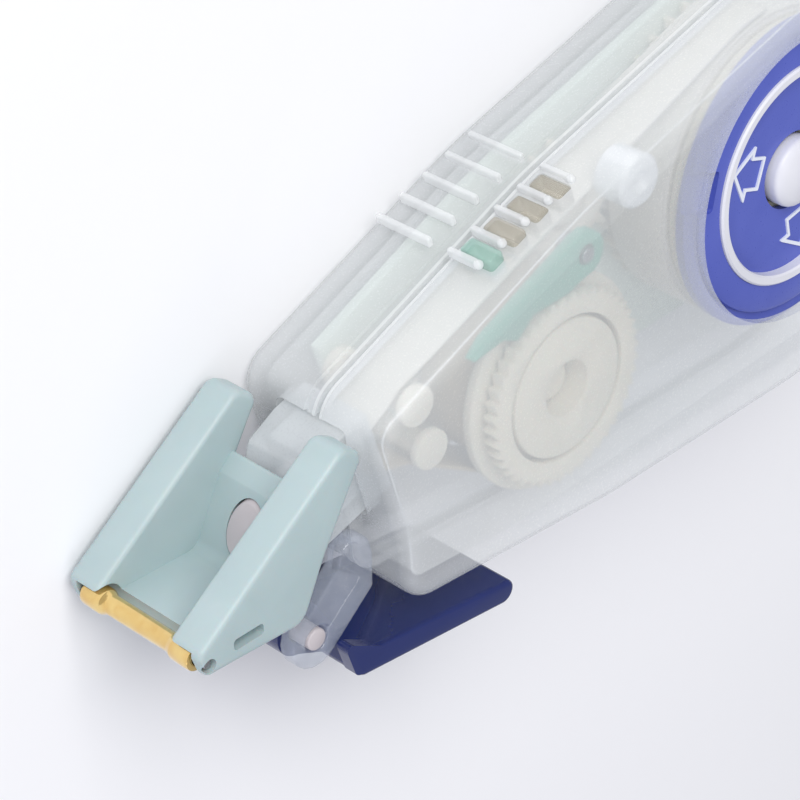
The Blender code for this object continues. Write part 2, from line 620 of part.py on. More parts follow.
# --- Head -------------------------------------------------------------------------------
def plate_corners():
    """One side plate of the head, seen from the dial side, with its tip round the roller."""
    rear = ROLLER_X + HEAD_LENGTH
    return [(ROLLER_X - 0.5, AXIS_HEIGHT + 1.1, 0.6), (ROLLER_X - 0.45, AXIS_HEIGHT - 0.6, 0.5),
            (ROLLER_X + 6.4, AXIS_HEIGHT - 3.0, 1.2), (rear - 4.6, AXIS_HEIGHT, 5.0),
            (rear, AXIS_HEIGHT + 4.1, 0.7), (rear - 1.3, AXIS_HEIGHT + 5.5, 0.8)]


WALL_CORNERS = ((-6.2, -2.45), (-2.9, 1.6), (-2.75, 2.35), (-4.2, 1.65), (-7.4, -1.7))


def head_frame(finish):
    """Two side plates joined by a cross wall and a floor ramp, bored for the pin and the axle."""
    half = HEAD_WIDTH / 2
    plates = rounded(plate_corners(), step=22)
    thing = put("head_frame", prism(plates, MID + HEAD_INNER, MID + half), finish)
    far = put("far_plate", prism(plates, MID - half, MID - HEAD_INNER), None, cutter=True)
    rear = ROLLER_X + HEAD_LENGTH
    wall = [Vector((rear + x, AXIS_HEIGHT + y)) for x, y in WALL_CORNERS]
    floor = [Vector((ROLLER_X + x, AXIS_HEIGHT + y)) for x, y in ((0.5, 0.2), (0.9, -0.75), (6.3, -2.75))]
    sunk = 0.5
    bridge = put("head_bridge", prism(wall + floor, MID - HEAD_INNER - sunk, MID + HEAD_INNER + sunk), None,
                 cutter=True)
    combine(thing, [bridge, far], "UNION")
    radius = SWIVEL_PIN + PIN_CLEAR
    bore = along_x(rod(radius, -2.6, 4, steps=24), (rear - 5.2, AXIS_HEIGHT, MID))
    tip = Vector((ROLLER_X, AXIS_HEIGHT))
    axle = rod(AXLE_RADIUS + 0.15, -1, CASE_DEPTH + 1, tip, 16)
    room = ROLLER_LENGTH / 2 + CLEAR
    pocket = rod(ROLLER_FLANGE + CLEAR, MID - room, MID + room, tip, 24)
    slot = rounded([(ROLLER_X + 1.9, AXIS_HEIGHT + 0.2, 0.2), (ROLLER_X + 1.7, AXIS_HEIGHT - 0.5, 0.2),
                    (ROLLER_X + 3.8, AXIS_HEIGHT - 1.1, 0.2), (ROLLER_X + 4.0, AXIS_HEIGHT - 0.4, 0.2)], step=45)
    cuts = [put("plate_slot", prism(slot, MID + half - 1.0, MID + half + 1), None, cutter=True),
            put("swivel_bore", bore, None, cutter=True), put("roller_pocket", pocket, None, cutter=True),
            put("axle_bore", axle, None, cutter=True)]
    combine(thing, cuts, "DIFFERENCE")


def head_small_parts(colours):
    """Tip roller, its axle and the pin that the head rocks on."""
    place = Vector((ROLLER_X, AXIS_HEIGHT))
    half, core = ROLLER_LENGTH / 2, ROLLER_CORE_LENGTH / 2
    bore = AXLE_RADIUS + 0.12
    rim = ROLLER_FLANGE
    profile = [(bore, MID - half), (rim - 0.15, MID - half), (rim, MID - half + 0.2),
               (rim, MID - core - 0.35), (ROLLER_CORE, MID - core), (ROLLER_CORE, MID + core),
               (rim, MID + core + 0.35), (rim, MID + half - 0.2), (rim - 0.15, MID + half),
               (bore, MID + half)]
    put("tip_roller", turned(profile, place, 24), colours["amber_roller"], (*place, MID))
    reach = HEAD_WIDTH / 2 - 0.2
    put("roller_axle", rod(AXLE_RADIUS, MID - reach, MID + reach, place, 16), colours["steel"], (*place, MID))
    wall_x = ROLLER_X + HEAD_LENGTH
    fold, foot = (Vector((wall_x + x, AXIS_HEIGHT + y)) for x, y in WALL_CORNERS[3:])
    rear = -NOSE_REACH - 0.6
    pin = along_x(rod(SWIVEL_PIN, foot.x - 1, rear, steps=24), (0, AXIS_HEIGHT, MID))
    thing = put("head_pin", pin, colours["pin_grey"], (fold.x, AXIS_HEIGHT, MID))
    slope = (fold - foot).normalized()
    out = Vector((-slope.y, slope.x))
    face = [foot - slope * 4 + out * 0.1, fold + slope * 4 + out * 0.1, fold + slope * 4 + out * 6,
            foot - slope * 4 + out * 6]
    trim = put("pin_trim", prism(face, MID - 4, MID + 4), None, cutter=True)
    combine(thing, [trim], "DIFFERENCE")


# --- Latch lever ------------------------------------------------------------------------
def lever_bracket(finish):
    """The clear bracket on the chin of the case: two ears with round lobes and a web between."""
    root_low = Vector((-NOSE_REACH - 1.6, CHIN_Y + 1.1))
    ear = arc(HINGE.x, HINGE.y, KNUCKLE, 140, 300, 8)
    ear += [root_low, Vector((-NOSE_REACH - 0.9, AXIS_HEIGHT - NECK_HEIGHT / 2 - 2.4))]
    ear += arc(-NOSE_REACH - 2.1, AXIS_HEIGHT - NECK_HEIGHT / 2 - 1.3 - CLEAR, 1.3, 10, 170, 7)
    gap = BARREL_WIDTH / 2 + CLEAR
    thing = put("lever_bracket", prism(ear, MID + gap, MID + gap + EAR_THICK), finish)
    far = put("far_ear", prism(ear, MID - gap - EAR_THICK, MID - gap), None, cutter=True)
    web = [root_low, Vector((-NOSE_REACH - 0.9, AXIS_HEIGHT - NECK_HEIGHT / 2 - 2.4)),
           Vector((-NOSE_REACH - 2.4, AXIS_HEIGHT - NECK_HEIGHT / 2 - 1.2)),
           Vector((-NOSE_REACH - 3.1, CHIN_Y + 3.2))]
    bridge = put("ear_web", prism(web, MID - gap - 0.2, MID + gap + 0.2), None, cutter=True)
    combine(thing, [bridge, far], "UNION")
    bore = rod(LEVER_PIN + 0.15, -1, CASE_DEPTH + 1, HINGE, 20)
    combine(thing, [put("ear_bore", bore, None, cutter=True)], "DIFFERENCE")


def latch_lever(colours):
    """The lever under the belly: a barrel on its pin and a broad thumb plate."""
    along = Vector((math.cos(math.radians(LEVER_TILT)), math.sin(math.radians(LEVER_TILT))))
    up = Vector((-along.y, along.x))
    start, end = KNUCKLE + 0.5, LEVER_LENGTH
    top, low = -LEVER_DROP, -LEVER_DROP - LEVER_THICK

    def spot(a, b):
        """A point so far along the lever and so far above its hinge line."""
        return HINGE + along * a + up * b

    plate = rounded([(*spot(start, top), 0.3), (*spot(start, low), 0.6), (*spot(end, low + 0.3), 0.9),
                     (*spot(end, top), 0.6)], step=30)
    barrel = arc(HINGE.x, HINGE.y, KNUCKLE - 0.2, 60, 290, 12)
    barrel += [spot(start + 1, low + 0.3), spot(start + 1, top - 0.2)]
    half = LEVER_WIDTH / 2
    thing = put("latch_lever", prism(plate, MID - half, MID + half), colours["navy_lever"], (*HINGE, MID))
    half = BARREL_WIDTH / 2
    joins = [put("lever_barrel", prism(barrel, MID - half, MID + half), None, cutter=True)]
    cheek = rounded([(*spot(1.0, -0.2), 0.4), (*spot(2.2, low + 0.3), 0.5), (*spot(start + 2, low + 0.3), 0),
                     (*spot(start + 2, top - 0.3), 0)], step=30)
    inner = BARREL_WIDTH / 2 + CLEAR + EAR_THICK + CLEAR
    outer = inner + CHEEK - 0.01
    for side, (inner, outer) in (("near", (inner, outer)), ("far", (-outer, -inner))):
        joins.append(put(f"{side}_cheek", prism(cheek, MID + inner, MID + outer), None, cutter=True))
    combine(thing, joins, "UNION")
    bore = rod(LEVER_PIN + 0.15, MID - half - CLEAR, MID + half + CLEAR, HINGE, 20)
    combine(thing, [put("barrel_bore", bore, None, cutter=True)], "DIFFERENCE")
    reach = BARREL_WIDTH / 2 + CLEAR + EAR_THICK
    put("lever_pin", rod(LEVER_PIN, MID - reach, MID + reach, HINGE, 20), colours["pin_grey"], (*HINGE, MID))


def main():
    """Clear the scene and build every piece."""
    for thing in list(bpy.data.objects):
        bpy.data.objects.remove(thing, do_unlink=True)
    colours = finishes()
    back_case(colours["frosted_case"])
    front_case(colours["frosted_case"])
    neck_cowl(colours["white_neck"])
    cartridge(colours)
    tape_runs(colours["tape_white"], colours["liner_taupe"])
    supply_reel(colours)
    phase = idler_gear(colours["white_gear"])
    take_up_reel(colours, phase)
    anti_reverse_pawl(colours)
    head_frame(colours["head_grey"])
    head_small_parts(colours)
    lever_bracket(colours["clear_bracket"])
    latch_lever(colours)


main()
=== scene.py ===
"""Looks of a roller-tip correction tape dispenser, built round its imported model.

The frame is in metres: X runs from the head to the rear, Y to the ribbed grip edge and Z up to
the side with the tension dial. Sizes in the classes below are millimetres until mm() turns
them into metres.
"""
import json
import logging
import math
from collections.abc import Callable, Sequence
from dataclasses import dataclass
from enum import Enum

import bmesh
import bpy
from mathutils import Matrix, Vector


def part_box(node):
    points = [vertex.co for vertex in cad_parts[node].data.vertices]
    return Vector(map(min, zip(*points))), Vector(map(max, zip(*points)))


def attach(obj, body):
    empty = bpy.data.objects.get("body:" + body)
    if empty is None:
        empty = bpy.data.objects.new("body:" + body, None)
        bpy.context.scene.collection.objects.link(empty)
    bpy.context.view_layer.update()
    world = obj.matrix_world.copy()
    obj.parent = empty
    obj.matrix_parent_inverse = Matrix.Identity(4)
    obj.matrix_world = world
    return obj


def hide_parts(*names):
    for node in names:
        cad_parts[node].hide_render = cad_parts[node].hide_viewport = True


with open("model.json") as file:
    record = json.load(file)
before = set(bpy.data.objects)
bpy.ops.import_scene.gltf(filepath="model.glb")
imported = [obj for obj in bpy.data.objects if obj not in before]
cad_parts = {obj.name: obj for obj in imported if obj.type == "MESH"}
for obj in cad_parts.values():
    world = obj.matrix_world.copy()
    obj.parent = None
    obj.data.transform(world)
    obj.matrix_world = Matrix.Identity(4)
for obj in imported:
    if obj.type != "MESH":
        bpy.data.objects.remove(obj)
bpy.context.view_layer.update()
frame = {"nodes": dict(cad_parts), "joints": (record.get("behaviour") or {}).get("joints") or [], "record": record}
LOG = logging.getLogger("dispenser")
Test = Callable[[Vector, Vector], bool]


def mm(*sizes: float) -> float | Vector:
    """Millimetres in metres: a number for one size, a vector for several."""
    return sizes[0] * 0.001 if len(sizes) == 1 else Vector(sizes) * 0.001


def joint_place(name: str) -> Vector:
    """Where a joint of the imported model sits, in metres."""
    return next(Vector(j["pos_m"]) for j in frame["joints"] if j["name"] == name)


# --- Finishes -----------------------------------------------------------------------------
def linear(colour: str) -> tuple[float, float, float, float]:
    """An sRGB hex colour as linear red, green, blue and a full alpha.

    Args:
        colour: Six hex digits after a hash.

    Returns:
        The colour as a shader socket takes it.
    """
    parts = [int(colour[i:i + 2], 16) / 255 for i in (1, 3, 5)]
    return (*(c / 12.92 if c <= 0.04045 else ((c + 0.055) / 1.055) ** 2.4 for c in parts), 1.0)


def add_node(tree: bpy.types.NodeTree, kind: str, settings: dict | None = None,
             inputs: dict | None = None) -> bpy.types.Node:
    """Adds a shader node with its settings and links.

    Args:
        tree: The node tree that it goes into.
        kind: The node's Blender type.
        settings: Properties of the node by name.
        inputs: Values or output sockets by the input's name or number.

    Returns:
        The new node.
    """
    node = tree.nodes.new(kind)
    for name, value in (settings or {}).items():
        setattr(node, name, value)
    for name, value in (inputs or {}).items():
        if isinstance(value, bpy.types.NodeSocket):
            tree.links.new(value, node.inputs[name])
        else:
            node.inputs[name].default_value = value
    return node


@dataclass(frozen=True)
class Moulded:
    """A moulded plastic: slow flow streaks in its colour over a fine spark-eroded grain.

    The grain is about 0.15 mm on the mould and is drawn at that size, so it shows as a faint
    unevenness of the shine and not as bumps.
    """

    name: str
    colour: str
    shade: str
    roughness: float = 0.4
    ior: float = 1.49
    metallic: float = 0.0
    coat: float = 0.0
    subsurface: float = 0.0
    transmission: float = 0.0
    alpha: float = 1.0
    grain_mm: float = 0.15
    grain_depth_mm: float = 0.004
    streak_mm: float = 4.0
    uneven: float = 0.06

    def pattern(self, tree: bpy.types.NodeTree, place: bpy.types.NodeSocket) -> bpy.types.NodeSocket:
        """The 0 to 1 pattern that turns the colour into its shade.

        Args:
            tree: The material's node tree.
            place: The object coordinates.

        Returns:
            The pattern's output socket.
        """
        noise = add_node(tree, "ShaderNodeTexNoise", inputs={
            "Vector": place, "Scale": 1 / mm(self.streak_mm), "Detail": 3.0, "Distortion": 0.6})
        return noise.outputs["Fac"]

    def build(self) -> bpy.types.Material:
        """The finish as a material with its own nodes."""
        made = bpy.data.materials.get(self.name)
        if made:
            return made
        made = bpy.data.materials.new(self.name)
        made.use_nodes = True
        tree = made.node_tree
        tree.nodes.clear()
        place = add_node(tree, "ShaderNodeTexCoord").outputs["Object"]
        tint = add_node(tree, "ShaderNodeMix", {"data_type": "RGBA"}, {
            0: self.pattern(tree, place), 6: linear(self.colour), 7: linear(self.shade)})
        grain = add_node(tree, "ShaderNodeTexNoise", inputs={
            "Vector": place, "Scale": 1 / mm(self.grain_mm), "Detail": 2.0})
        shine = add_node(tree, "ShaderNodeMapRange", inputs={
            "Value": grain.outputs["Fac"], "From Min": 0.3, "From Max": 0.7,
            "To Min": max(self.roughness - self.uneven, 0.02), "To Max": self.roughness + self.uneven})
        bump = add_node(tree, "ShaderNodeBump", inputs={
            "Height": grain.outputs["Fac"], "Distance": mm(self.grain_depth_mm), "Strength": 0.6})
        shader = add_node(tree, "ShaderNodeBsdfPrincipled", inputs={
            "Base Color": tint.outputs[2], "Roughness": shine.outputs[0], "Normal": bump.outputs[0],
            "Metallic": self.metallic, "Coat Weight": self.coat, "Alpha": self.alpha,
            "Subsurface Weight": self.subsurface, "Transmission Weight": self.transmission,
            "Subsurface Scale": mm(1.0)})
        if not self.metallic:
            shader.inputs["IOR"].default_value = self.ior
        add_node(tree, "ShaderNodeOutputMaterial", inputs={"Surface": shader.outputs[0]})
        return made


@dataclass(frozen=True)
class Wound(Moulded):
    """A film or paper wound on a reel: its edge shows rings, one for each few turns.

    Real turns are 0.05 mm apart, which is too fine to show, so a ring stands for five.
    """

    centre: tuple[float, float] = (0.0, 0.0)
    ring_mm: float = 0.25

    def pattern(self, tree: bpy.types.NodeTree, place: bpy.types.NodeSocket) -> bpy.types.NodeSocket:
        """Rings round the reel's axis, as the class says."""
        moved = add_node(tree, "ShaderNodeMapping", inputs={
            "Vector": place, "Location": (-self.centre[0], -self.centre[1], 0)})
        rings = add_node(tree, "ShaderNodeTexWave", {
            "wave_type": "RINGS", "rings_direction": "Z"}, {
            "Vector": moved.outputs[0], "Scale": 0.16 / mm(self.ring_mm), "Distortion": 0.4, "Detail": 2.0})
        return rings.outputs["Fac"]


@dataclass(frozen=True)
class Drawn(Moulded):
    """Drawn wire or film: fine lines run along one axis, so its shine is streaked."""

    stretch: tuple[float, float, float] = (1.0, 1.0, 0.05)

    def pattern(self, tree: bpy.types.NodeTree, place: bpy.types.NodeSocket) -> bpy.types.NodeSocket:
        """Noise drawn out along the drawing direction."""
        pulled = add_node(tree, "ShaderNodeMapping", inputs={"Vector": place, "Scale": self.stretch})
        noise = add_node(tree, "ShaderNodeTexNoise", inputs={
            "Vector": pulled.outputs[0], "Scale": 1 / mm(self.grain_mm), "Detail": 4.0})
        return noise.outputs["Fac"]


SUPPLY, TAKE_UP = joint_place("supply_turn"), joint_place("take_up_turn")
# Clear polystyrene from a finely blasted mould: a milky wall with the works faint behind it.
FROSTED = Moulded("frosted_polystyrene", "#F6F8FA", "#EAEFF2", roughness=0.24, ior=1.59, coat=0.35,
                  alpha=0.33, grain_mm=0.12, streak_mm=9.0)
# The same where the mould is polished, on ribs, pips and lips: they catch the light as fine lines.
POLISHED = Moulded("polished_polystyrene", "#FBFCFD", "#F2F5F7", roughness=0.12, ior=1.59, alpha=0.4,
                   grain_depth_mm=0.001)
# Polished panes, drawn in the tint of what lies behind them: taupe liner, and the teal pawl.
WINDOW = Moulded("window_polystyrene", "#C9C3B4", "#B5AD9B", roughness=0.08, ior=1.59, alpha=0.4,
                 grain_depth_mm=0.001)
TEAL_WINDOW = Moulded("teal_window_polystyrene", "#A8D3C6", "#8CC4B3", roughness=0.08, ior=1.59, alpha=0.4,
                      grain_depth_mm=0.001)
# A thick, solid lump of the case's polystyrene, so it looks whiter than the wall above it.
BOSS_WHITE = Moulded("boss_polystyrene", "#FBFCFD", "#EEF2F5", roughness=0.3, ior=1.59, alpha=0.9)
# Natural polypropylene, as moulded: a soft, waxy, half-clear white.
MILKY = Moulded("milky_polypropylene", "#EEF2F5", "#DFE6EA", roughness=0.3, alpha=0.45)
# Pigmented acetal from a lightly textured mould: an even satin with a little depth.
HEAD_ACETAL = Moulded("head_acetal", "#B3C4C6", "#A5B8BB", roughness=0.42, subsurface=0.15, grain_mm=0.1)
# Polished amber polycarbonate. It is part metal in the shader for the gold glints of its clear edges.
AMBER = Moulded("amber_polycarbonate", "#F6DF98", "#D3A044", roughness=0.08, ior=1.585, coat=1.0,
                metallic=0.75, streak_mm=1.2, uneven=0.03)
# ABS from a polished mould: a deep colour under a soft gloss.
NAVY = Moulded("navy_abs", "#182868", "#12205A", roughness=0.25, coat=0.25, grain_mm=0.25,
               grain_depth_mm=0.0008, uneven=0.015)
BLUE = Moulded("blue_abs", "#5B68C2", "#4755B2", roughness=0.33, coat=0.2)
PALE = Moulded("pale_abs", "#E6E6EC", "#D6D7E0", roughness=0.4)
# Clear polystyrene from a polished mould: cool grey shapes with sharp highlights.
CLEAR = Moulded("clear_polystyrene", "#DCE2EE", "#A9B3C6", roughness=0.04, ior=1.59, coat=1.0, alpha=0.3,
                streak_mm=0.9, grain_depth_mm=0.0005, uneven=0.02)
# Unpigmented and pigmented acetal, the plastic of small gears: a dull, slightly warm shine.
ACETAL = Moulded("white_acetal", "#F1ECDD", "#E3DCC8", roughness=0.38, subsurface=0.1)
TEAL = Moulded("teal_acetal", "#4FB59A", "#3FA288", roughness=0.4)
PIN_GREY = Moulded("pin_acetal", "#CDC6C9", "#BEB6BA", roughness=0.4)
# Polypropylene sheet, as moulded: a matt pale green that tints the case from inside.
MINT = Moulded("mint_polypropylene", "#E3EFE6", "#D3E4D8", roughness=0.45)
# Moulded nitrile rubber: dark and dull.
RUBBER = Moulded("nitrile_rubber", "#26282B", "#1C1E20", roughness=0.7, grain_depth_mm=0.02)
# Coated film and siliconised paper, wound: their edges show rings.
FILM = Wound("correction_film", "#F3F1EA", "#DAD6CA", roughness=0.5)
LINER = Wound("glassine_liner", "#C9B697", "#8F7F66", roughness=0.36, centre=(TAKE_UP.x, TAKE_UP.y))
# The same two where they run straight: faint lines along the run.
FILM_RUN = Drawn("film_run", "#EFEDE5", "#E0DCD0", roughness=0.45, stretch=(0.05, 1.0, 1.0))
LINER_RUN = Drawn("liner_run", "#C2B69E", "#ADA088", roughness=0.32, stretch=(0.05, 1.0, 1.0))
# Drawn stainless wire: grey, with shine streaked along its length.
WIRE = Drawn("drawn_steel", "#B9BABD", "#96989C", roughness=0.28, metallic=1.0, grain_mm=0.08)
# Pad-printed ink: flat and near white.
MARK_INK = Moulded("mark_print", "#E9EDF6", "#DCE1EE", roughness=0.45)


# --- Modelling ----------------------------------------------------------------------------
class Pick(Enum):
    """What a selection is made of."""

    VERT = "VERT"
    EDGE = "EDGE"
    FACE = "FACE"


class Joining(Enum):
    """How one solid acts on another."""

    CUT = "DIFFERENCE"
    JOIN = "UNION"


class Work:
    """A piece on the bench: a primitive shaped by edit-mode operators and modifiers."""

    def __init__(self, name: str, operator: Callable, **place: object) -> None:
        """Adds the primitive.

        Args:
            name: The piece's name.
            operator: The operator that adds the primitive.
            **place: The operator's own size and place.
        """
        if bpy.context.mode != "OBJECT":
            bpy.ops.object.mode_set(mode="OBJECT")
        bpy.ops.object.select_all(action="DESELECT")
        operator(**place)
        self.obj = bpy.context.active_object
        self.obj.name = self.obj.data.name = name
        bpy.ops.object.transform_apply(location=True, rotation=True, scale=True)

    @classmethod
    def outline(cls, name: str, corners: Sequence[tuple[float, float, float]], low: float,
                high: float) -> "Work":
        """A prism along Z whose outline is a polygon with rounded corners.

        Args:
            name: The piece's name.
            corners: X, Y and rounding radius of each corner in millimetres, counter-clockwise.
            low: Bottom of the prism in millimetres.
            high: Top of the prism in millimetres.

        Returns:
            The prism, with its top face selected.
        """
        work = cls(name, bpy.ops.mesh.primitive_circle_add, vertices=len(corners), radius=mm(5),
                   fill_type="NGON", location=(0, 0, mm(low)))
        spots = [mm(x, y, low) for x, y, _ in corners]
        for start, spot in zip([v.co.copy() for v in work.obj.data.vertices], spots):
            work.pick(lambda at, _, s=start: (at - s).length < mm(1e-3), Pick.VERT).move(spot - start)
        for i, (spot, (_, _, radius)) in enumerate(zip(spots, corners)):
            if radius:
                back = (spots[i - 1] - spot).normalized()
                ahead = (spots[(i + 1) % len(spots)] - spot).normalized()
                half = back.angle(ahead) / 2
                steps = max(2, round((math.pi - 2 * half) / math.radians(7)))
                work.pick(lambda at, _, s=spot: (at - s).length < mm(1e-3), Pick.VERT)
                bpy.ops.mesh.bevel(offset_type="ABSOLUTE", offset=mm(radius) / math.tan(half),
                                   segments=steps, affect="VERTICES")
        work.pick(lambda at, _: True).extrude(mm(0, 0, high - low))
        return work

    @classmethod
    def lathe(cls, name: str, profile: Sequence[tuple[float, float]], centre: Vector,
              steps: int = 64, tube: bool = False) -> "Work":
        """A turned piece about a Z axis, raised ring by ring by extruding and scaling.

        Args:
            name: The piece's name.
            profile: Radius and height of each ring in millimetres, from the bottom up.
            centre: A point of the axis, in metres.
            steps: Sides of the rings.
            tube: True if the profile closes on itself round a bore.

        Returns:
            The turned piece.
        """
        first = profile[0]
        work = cls(name, bpy.ops.mesh.primitive_circle_add, vertices=steps, radius=mm(first[0]),
                   location=(centre.x, centre.y, mm(first[1])))
        work.pick(lambda at, _: True, Pick.EDGE)
        for (near, low), (far, high) in zip(profile, [*profile[1:], *([first] if tube else [])]):
            work.extrude(mm(0, 0, high - low))
            work.resize((far / near, far / near, 1), Vector((centre.x, centre.y, mm(high))))
        if tube:
            work.merge()
        else:
            work.pick(lambda at, _: True, Pick.EDGE)
            bpy.ops.mesh.fill_holes(sides=0)
        return work

    @classmethod
    def block(cls, name: str, low: Vector, high: Vector, edge: float, segments: int = 3) -> "Work":
        """A cuboid between two corners with all its edges rounded.

        Args:
            name: The piece's name.
            low: The lowest corner in metres.
            high: The highest corner in metres.
            edge: Rounding radius in millimetres, or 0 for sharp edges.
            segments: Steps of the rounding.

        Returns:
            The block.
        """
        work = cls(name, bpy.ops.mesh.primitive_cube_add, size=1, location=(low + high) / 2,
                   scale=high - low)
        if edge:
            work.pick(lambda at, _: True, Pick.EDGE).bevel(edge, segments)
        return work

    @classmethod
    def polished(cls, node: str, edge: float = 0.07, segments: int = 2, name: str = "") -> "Work":
        """A CAD node's shape with merged faces and its sharp edges broken.

        Args:
            node: The CAD node.
            edge: Width of the broken edges in millimetres.
            segments: Steps across a broken edge.
            name: The piece's name, if not the node's with "_piece".

        Returns:
            The polished copy.
        """
        work = cls(name or f"{node}_piece", bpy.ops.mesh.primitive_plane_add, size=mm(1))
        work.obj.data = frame["nodes"][node].data.copy()
        work.obj.data.name = work.obj.name
        work.obj.data.materials.clear()
        work.pick(lambda at, _: True)
        work.merge(0.002)
        bpy.ops.mesh.dissolve_limited(angle_limit=math.radians(1.5))
        bpy.ops.mesh.normals_make_consistent(inside=False)
        return work.modify("BEVEL", width=mm(edge), segments=segments, limit_method="ANGLE",
                           angle_limit=math.radians(38), harden_normals=False)

    def _enter(self) -> None:
        """Opens the piece in edit mode."""
        if bpy.context.mode == "EDIT_MESH" and bpy.context.active_object == self.obj:
            return
        self._leave()
        bpy.ops.object.mode_set(mode="EDIT")

    def _leave(self) -> None:
        """Closes edit mode and leaves only this piece selected."""
        if bpy.context.mode != "OBJECT":
            bpy.ops.object.mode_set(mode="OBJECT")
        bpy.ops.object.select_all(action="DESELECT")
        self.obj.select_set(True)
        bpy.context.view_layer.objects.active = self.obj

    def pick(self, test: Test, kind: Pick = Pick.FACE) -> "Work":
        """Selects the parts of the mesh that pass a test.

        Args:
            test: Takes a part's middle and its normal (a vertex's or face's) or direction (an edge's).
            kind: What is selected.

        Returns:
            The piece itself.
        """
        self._enter()
        bpy.ops.mesh.select_mode(type=kind.value)
        bpy.ops.mesh.select_all(action="DESELECT")
        mesh = bmesh.from_edit_mesh(self.obj.data)
        if kind is Pick.FACE:
            found = [f for f in mesh.faces if test(f.calc_center_median(), f.normal)]
        elif kind is Pick.EDGE:
            found = [e for e in mesh.edges if test((e.verts[0].co + e.verts[1].co) / 2,
                                                   (e.verts[1].co - e.verts[0].co).normalized())]
        else:
            found = [v for v in mesh.verts if test(v.co, v.normal)]
        for part in found:
            part.select_set(True)
        mesh.select_flush_mode()
        bmesh.update_edit_mesh(self.obj.data)
        return self

    def move(self, offset: Vector) -> "Work":
        """Moves the selection."""
        bpy.ops.transform.translate(value=offset)
        return self

    def resize(self, factors: Sequence[float], centre: Vector) -> "Work":
        """Scales the selection about a point."""
        bpy.ops.transform.resize(value=factors, center_override=centre)
        return self

    def extrude(self, offset: Vector) -> "Work":
        """Extrudes the selection."""
        bpy.ops.mesh.extrude_region_move(TRANSFORM_OT_translate={"value": offset})
        return self

    def bevel(self, width: float, segments: int = 3) -> "Work":
        """Rounds the selected edges by a width in millimetres."""
        bpy.ops.mesh.bevel(offset=mm(width), segments=segments, affect="EDGES", clamp_overlap=True)
        return self

    def fatten(self, amount: float) -> "Work":
        """Moves the selection along its normals by so many millimetres."""
        bpy.ops.transform.shrink_fatten(value=mm(amount))
        return self

    def merge(self, distance: float = 0.001) -> "Work":
        """Merges vertices closer than a distance in millimetres."""
        self._enter()
        bpy.ops.mesh.select_all(action="SELECT")
        bpy.ops.mesh.remove_doubles(threshold=mm(distance))
        return self

    def delete(self) -> "Work":
        """Deletes the selected faces."""
        bpy.ops.mesh.delete(type="FACE")
        return self

    def modify(self, kind: str, **settings: object) -> "Work":
        """Adds a modifier and applies it.

        Args:
            kind: The modifier's Blender type.
            **settings: Its properties.

        Returns:
            The piece itself.
        """
        self._leave()
        modifier = self.obj.modifiers.new(kind.title(), kind)
        for name, value in settings.items():
            setattr(modifier, name, value)
        bpy.ops.object.modifier_apply(modifier=modifier.name)
        return self

    def outward(self) -> "Work":
        """Turns every face outwards."""
        self.merge()
        bpy.ops.mesh.normals_make_consistent(inside=False)
        return self

    def with_solids(self, joining: Joining, *others: "Work") -> "Work":
        """Cuts or joins other pieces, which are used up.

        Args:
            joining: Whether the others are cut out or joined on.
            *others: The other pieces.

        Returns:
            The piece itself.
        """
        self.outward()
        for other in others:
            other.outward()
            self.modify("BOOLEAN", object=other.obj, operation=joining.value, solver="EXACT")
            bpy.data.objects.remove(other.obj)
        return self

    def turned(self, angle: float, axis: str, about: Vector) -> "Work":
        """Turns the whole piece.

        Args:
            angle: The angle in degrees.
            axis: X, Y or Z.
            about: A point that stays.

        Returns:
            The piece itself.
        """
        self._leave()
        self.obj.data.transform(Matrix.Translation(about) @ Matrix.Rotation(math.radians(angle), 4, axis)
                                @ Matrix.Translation(-about))
        return self

    def copy(self, name: str, offset: Vector) -> "Work":
        """A copy with its own mesh, moved by an offset in metres."""
        self._leave()
        bpy.ops.object.duplicate()
        twin = Work.__new__(Work)
        twin.obj = bpy.context.active_object
        twin.obj.name = twin.obj.data.name = name
        twin.obj.data.transform(Matrix.Translation(offset))
        return twin

    def finish(self, finish: Moulded, body: str, slot: str, *nodes: str,
               smooth: float = 35.0) -> bpy.types.Object:
        """Dresses the piece and fixes it to the frame.

        Args:
            finish: Its finish.
            body: The body that it rides on.
            slot: The record's material slot; not used.
            *nodes: CAD nodes that it stands for.
            smooth: Edges flatter than this many degrees are shaded smooth.

        Returns:
            The finished object.
        """
        self.outward()
        self._leave()
        bpy.ops.object.shade_smooth_by_angle(angle=math.radians(smooth))
        self.obj.data.materials.clear()
        self.obj.data.materials.append(finish.build())
        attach(self.obj, body)
        if nodes:
            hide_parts(*nodes)
        LOG.info("%s rides on %s", self.obj.name, body)
        return self.obj


